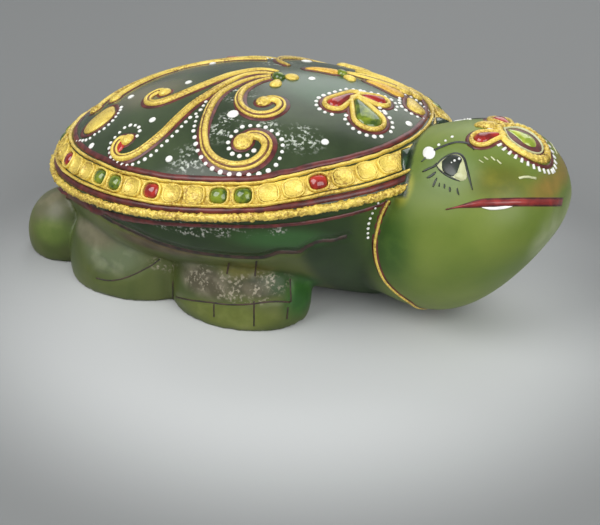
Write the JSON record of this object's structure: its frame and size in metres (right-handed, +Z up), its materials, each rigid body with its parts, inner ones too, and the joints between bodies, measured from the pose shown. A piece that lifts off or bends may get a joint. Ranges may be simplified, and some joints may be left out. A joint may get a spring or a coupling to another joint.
{
  "type": "turtle figurine",
  "caption": "Carved green stone turtle with a domed shell, raised gilt scrollwork, a rim band of pressed wells and lacquer drops, standing on its rounded feet and keel.",
  "frame": {"origin": "under the middle of the bounding box, on the surface that the figurine stands on", "axes": "+X the way the head points, +Y the turtle's left side, +Z up"},
  "size_m": [0.1148, 0.0746, 0.0446],
  "materials": {
    "stone": "polished translucent green stone",
    "gilt": "raised paste with bright gold paint",
    "red_lacquer": "glossy red lacquer",
    "green_lacquer": "glossy green lacquer",
    "leaf_lacquer": "glossy leaf-green lacquer"
  },
  "bodies": {
    "root": {"stone_carving": "stone", "rim_cord": "gilt", "rim_band": "gilt", "rim_red_drops": "red_lacquer", "rim_green_drops": "green_lacquer", "collar_line": "gilt", "right_scroll_long": "gilt", "right_scroll_hooked": "gilt", "right_scroll_great": "gilt", "right_scroll_small": "gilt", "left_scroll_long": "gilt", "left_scroll_hooked": "gilt", "left_scroll_great": "gilt", "left_scroll_small": "gilt", "root_green_drop": "green_lacquer", "root_gold_drops": "gilt", "right_flower_setting": "gilt", "right_flower_red_drops": "red_lacquer", "right_flower_green_drop": "green_lacquer", "left_flower_setting": "gilt", "left_flower_red_drops": "red_lacquer", "left_flower_green_drop": "green_lacquer", "back_petal": "gilt", "front_petal": "gilt", "root_leaf": "leaf_lacquer", "curl_leaf": "leaf_lacquer", "front_scroll": "gilt", "brow_setting": "gilt", "brow_green_leaf": "leaf_lacquer", "brow_red_petals": "red_lacquer", "brow_bead": "gilt"}
  },
  "joints": []
}
